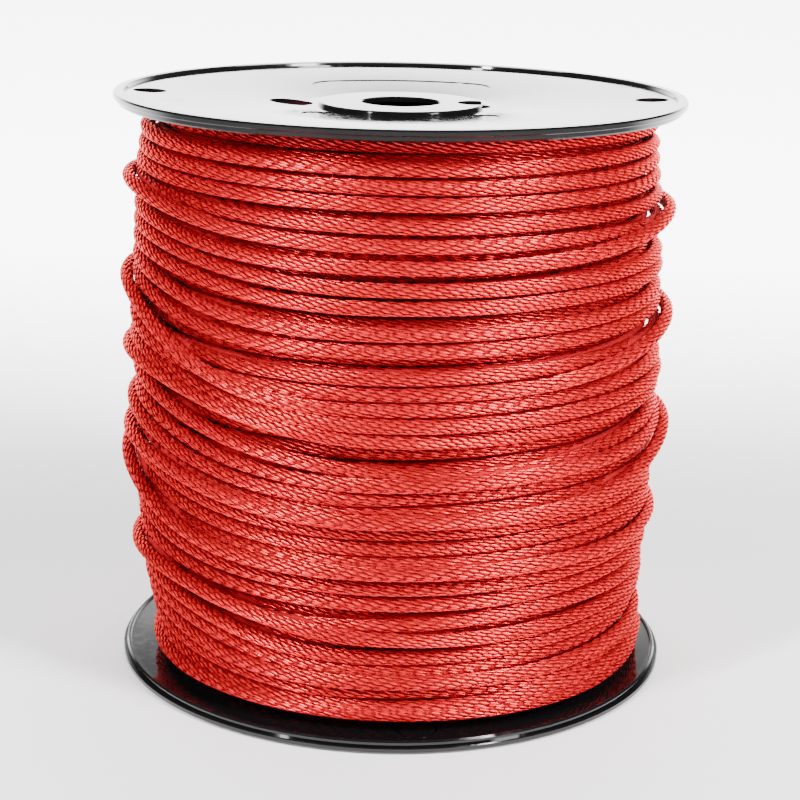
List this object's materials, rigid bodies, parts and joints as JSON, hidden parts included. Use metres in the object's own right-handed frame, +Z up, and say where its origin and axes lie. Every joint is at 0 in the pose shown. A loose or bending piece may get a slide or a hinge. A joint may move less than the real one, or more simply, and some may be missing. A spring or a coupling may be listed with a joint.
{
  "type": "reel of braided rope",
  "caption": "Flanged moulded reel fully wound with solid-braid rope, with a central arbor hole and tie-off, start and drive-pin holes in its dished flanges.",
  "frame": {"origin": "centre of the lower rim's resting plane, on the reel's axis", "axes": "+Z up along the reel's axis, +X towards the upper flange's drive-pin hole"},
  "size_m": [0.236, 0.236, 0.2426],
  "materials": {
    "reel_plastic": "glossy black moulded polystyrene",
    "rope": "coral red solid-braid multifilament rope"
  },
  "bodies": {
    "root": {"bottom_flange": "reel_plastic", "top_flange": "reel_plastic", "barrel_tube": "reel_plastic", "hidden_turns": "rope", "outer_turns": "rope"}
  },
  "joints": []
}
